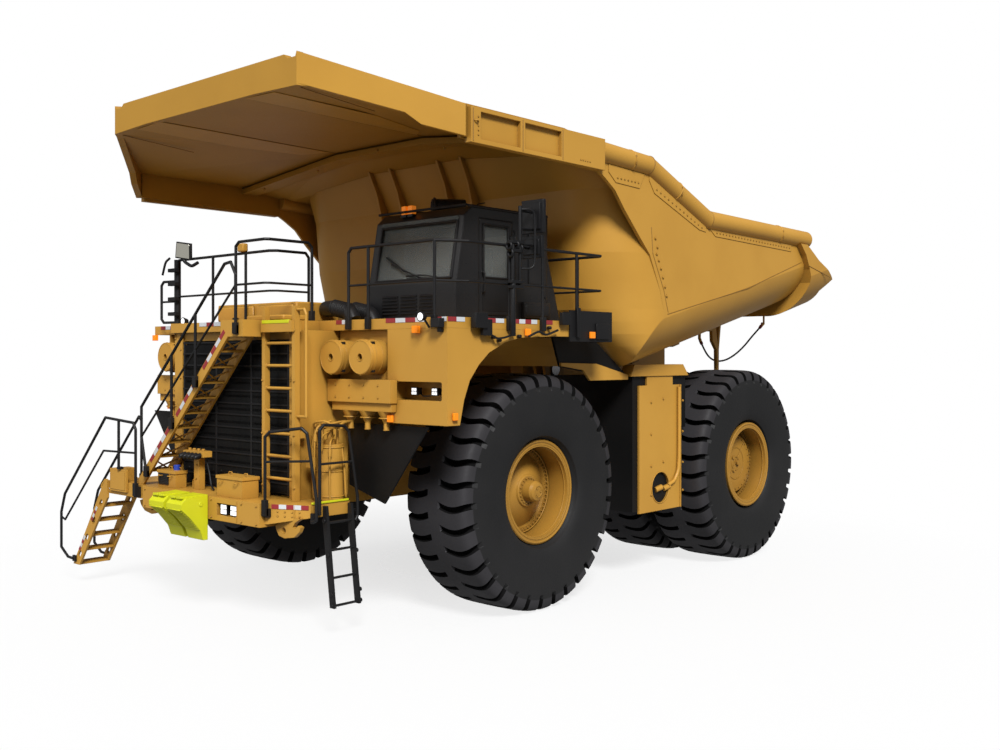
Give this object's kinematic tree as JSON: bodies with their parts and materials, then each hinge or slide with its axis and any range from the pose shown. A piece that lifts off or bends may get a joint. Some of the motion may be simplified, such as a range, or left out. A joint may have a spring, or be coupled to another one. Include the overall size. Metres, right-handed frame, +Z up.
{
  "type": "mining dump truck",
  "caption": "Rigid two-axle mining dump truck with tipping canopied body, hoist cylinders, steering front wheels, twin rear wheels, hollow cab, decks and stairs.",
  "frame": {"origin": "middle of the overall box, on the ground", "axes": "+X is the truck's left (cab side), +Y is the rear, +Z is up"},
  "size_m": [8.272, 13.44, 7.85],
  "materials": {
    "yellow_paint": "semi-gloss paint",
    "black_paint": "satin paint",
    "tyre_rubber": "matt",
    "clear_glass": "clear, faintly green",
    "cast_metal": "painted casting",
    "black_rubber": "matt",
    "lime_plastic": "matt",
    "seat_cloth": "woven",
    "dark_plastic": "grained",
    "bright_steel": "polished",
    "wire_rope": "greased wire"
  },
  "bodies": {
    "chassis": {"main_frame": "yellow_paint", "engine_block": "cast_metal", "suspension_struts": "yellow_paint", "rear_axle_housing": "yellow_paint", "side_tanks": "black_paint", "tank_guard": "yellow_paint", "radiator_grille": "black_paint", "radiator_surround": "yellow_paint", "front_bumper": "yellow_paint", "bumper_boxes": "yellow_paint", "wheel_chocks": "lime_plastic", "splash_panels": "black_rubber", "upper_deck": "yellow_paint", "deck_box": "black_paint", "fenders": "yellow_paint", "air_cleaners": "yellow_paint", "deck_handrails": "black_paint", "stair_handrails": "black_paint", "diagonal_stairway": "yellow_paint", "vertical_ladder": "yellow_paint", "lower_stair": "yellow_paint", "egress_ladder": "black_paint", "cab_shell": "black_paint", "cab_glass": "clear_glass", "cab_seats": "seat_cloth", "dash_console": "dark_plastic", "cab_roof_unit": "black_paint"},
    "steer_left_body": {"knuckle_left": "yellow_paint"},
    "steer_right_body": {"knuckle_right": "yellow_paint"},
    "tie_rod_body": {"tie_rod": "yellow_paint"},
    "wheel_front_left": {"front_tyre_left": "tyre_rubber", "front_rim_left": "yellow_paint"},
    "wheel_front_right": {"front_tyre_right": "tyre_rubber", "front_rim_right": "yellow_paint"},
    "wheels_rear_left": {"rear_tyres_left": "tyre_rubber", "rear_rims_left": "yellow_paint"},
    "wheels_rear_right": {"rear_tyres_right": "tyre_rubber", "rear_rims_right": "yellow_paint"},
    "dump_body": {"body_tub": "yellow_paint", "body_beams": "yellow_paint", "canopy": "yellow_paint", "top_rails": "yellow_paint", "retaining_cable": "wire_rope"},
    "hoist_barrel_body": {"hoist_barrels": "yellow_paint"},
    "hoist_sleeve_body": {"hoist_sleeves": "bright_steel"},
    "hoist_rod_body": {"hoist_rods": "bright_steel"},
    "door_body": {"cab_door": "black_paint", "door_glass": "clear_glass"}
  },
  "joints": [
    {"name": "steer_left", "type": "hinge", "parent": "chassis", "child": "steer_left_body", "pos_m": [1.85, -2.48, 1.79], "axis": [0, 0, 1], "range_deg": [-33, 33]},
    {"name": "steer_right", "type": "hinge", "parent": "chassis", "child": "steer_right_body", "pos_m": [-1.85, -2.48, 1.79], "axis": [0, 0, 1], "range_deg": [-33, 33]},
    {"name": "tie_rod_swing", "type": "hinge", "parent": "steer_left_body", "child": "tie_rod_body", "pos_m": [1.85, -1.68, 1.4], "axis": [0, 0, 1], "range_deg": [-33, 33]},
    {"name": "spin_front_left", "type": "hinge", "parent": "steer_left_body", "child": "wheel_front_left", "pos_m": [2.836, -2.48, 1.79], "axis": [1, 0, 0], "continuous": true},
    {"name": "spin_front_right", "type": "hinge", "parent": "steer_right_body", "child": "wheel_front_right", "pos_m": [-2.836, -2.48, 1.79], "axis": [1, 0, 0], "continuous": true},
    {"name": "spin_rear_left", "type": "hinge", "parent": "chassis", "child": "wheels_rear_left", "pos_m": [2.265, 3.42, 1.79], "axis": [1, 0, 0], "continuous": true},
    {"name": "spin_rear_right", "type": "hinge", "parent": "chassis", "child": "wheels_rear_right", "pos_m": [-2.265, 3.42, 1.79], "axis": [1, 0, 0], "continuous": true},
    {"name": "bed_tip", "type": "hinge", "parent": "chassis", "child": "dump_body", "pos_m": [0, 4.67, 2.95], "axis": [-1, 0, 0], "range_deg": [0, 45]},
    {"name": "hoist_tilt", "type": "hinge", "parent": "chassis", "child": "hoist_barrel_body", "pos_m": [0, 1.02, 1.45], "axis": [-1, 0, 0], "range_deg": [0, 27.42]},
    {"name": "hoist_sleeve_slide", "type": "slide", "parent": "hoist_barrel_body", "child": "hoist_sleeve_body", "axis": [0, -0.2478, 0.9688], "range_m": [0, 1.4211]},
    {"name": "hoist_rod_slide", "type": "slide", "parent": "hoist_sleeve_body", "child": "hoist_rod_body", "axis": [0, -0.2478, 0.9688], "range_m": [0, 1.4211]},
    {"name": "door_swing", "type": "hinge", "parent": "chassis", "child": "door_body", "pos_m": [3.182, -2.88, 5.1], "axis": [0, 0, 1], "range_deg": [0, 70]}
  ],
  "couplings": [
    {"joint": "steer_right", "follows": "steer_left", "ratio": 1},
    {"joint": "tie_rod_swing", "follows": "steer_left", "ratio": -1},
    {"joint": "hoist_tilt", "follows": "bed_tip", "ratio": 0.60818},
    {"joint": "hoist_sleeve_slide", "follows": "bed_tip", "m_per_rad": 1.8082},
    {"joint": "hoist_rod_slide", "follows": "bed_tip", "m_per_rad": 1.8082}
  ]
}
